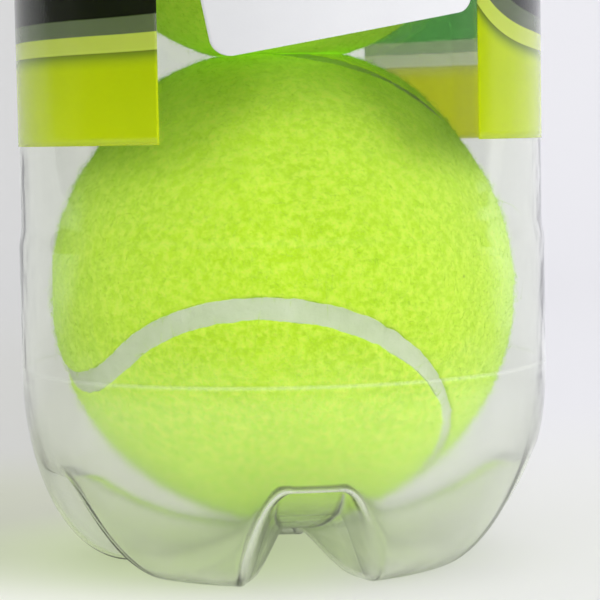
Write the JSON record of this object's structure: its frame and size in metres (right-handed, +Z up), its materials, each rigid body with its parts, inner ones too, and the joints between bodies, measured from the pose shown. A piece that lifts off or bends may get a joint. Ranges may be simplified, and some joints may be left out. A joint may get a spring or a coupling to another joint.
{
  "type": "tennis ball can",
  "caption": "Clear pressurised can on moulded feet with a tear-off metal end, a push-on cap and felt-covered balls stacked inside.",
  "frame": {"origin": "on the ground under the middle of the base", "axes": "+Z up along the can's axis, -Y the front with the clear window between the two labels"},
  "size_m": [0.0806, 0.0806, 0.2154],
  "materials": {
    "clear_plastic": "clear, glossy",
    "label_film": "printed film, satin",
    "sticker_paper": "matte paper",
    "end_metal": "lacquered sheet, satin",
    "tab_metal": "bright sheet",
    "compound": "matte",
    "cap_plastic": "frosted",
    "core_rubber": "moulded, matte",
    "felt": "napped felt",
    "seam_rubber": "matte cement"
  },
  "bodies": {
    "can": {"can_body": "clear_plastic", "label_left": "label_film", "label_right": "label_film", "price_sticker": "sticker_paper", "end_ring": "end_metal", "sealing_compound": "compound"},
    "overcap": {"overcap": "cap_plastic"},
    "tear_panel": {"tear_panel": "end_metal", "tab_tongue": "tab_metal"},
    "pull_ring": {"pull_ring": "tab_metal"},
    "ball_1": {"ball_1_core_lower": "core_rubber", "ball_1_core_upper": "core_rubber", "ball_1_felt_a": "felt", "ball_1_felt_b": "felt", "ball_1_seam": "seam_rubber"},
    "ball_2": {"ball_2_core_lower": "core_rubber", "ball_2_core_upper": "core_rubber", "ball_2_felt_a": "felt", "ball_2_felt_b": "felt", "ball_2_seam": "seam_rubber"},
    "ball_3": {"ball_3_core_lower": "core_rubber", "ball_3_core_upper": "core_rubber", "ball_3_felt_a": "felt", "ball_3_felt_b": "felt", "ball_3_seam": "seam_rubber"}
  },
  "joints": [
    {"name": "cap_off", "type": "slide", "parent": "can", "child": "overcap", "axis": [0, 0, 1], "range_m": [0, 0.3]},
    {"name": "panel_off", "type": "slide", "parent": "can", "child": "tear_panel", "axis": [0, 0, 1], "range_m": [0, 0.24]},
    {"name": "ring_lift", "type": "hinge", "parent": "tear_panel", "child": "pull_ring", "pos_m": [0, -0.033, 0.21035], "axis": [1, 0, 0], "range_deg": [0, 76]},
    {"name": "ball_1_out", "type": "slide", "parent": "can", "child": "ball_1", "axis": [0, 0, 1], "range_m": [0, 0.21]},
    {"name": "ball_2_out", "type": "slide", "parent": "can", "child": "ball_2", "axis": [0, 0, 1], "range_m": [0, 0.21]},
    {"name": "ball_3_out", "type": "slide", "parent": "can", "child": "ball_3", "axis": [0, 0, 1], "range_m": [0, 0.21]}
  ],
  "couplings": [
    {"joint": "panel_off", "follows": "cap_off", "ratio": 0.8},
    {"joint": "ring_lift", "follows": "cap_off", "rad_per_m": 4.4},
    {"joint": "ball_1_out", "follows": "cap_off", "ratio": 0.7},
    {"joint": "ball_2_out", "follows": "cap_off", "ratio": 0.7},
    {"joint": "ball_3_out", "follows": "cap_off", "ratio": 0.7}
  ]
}
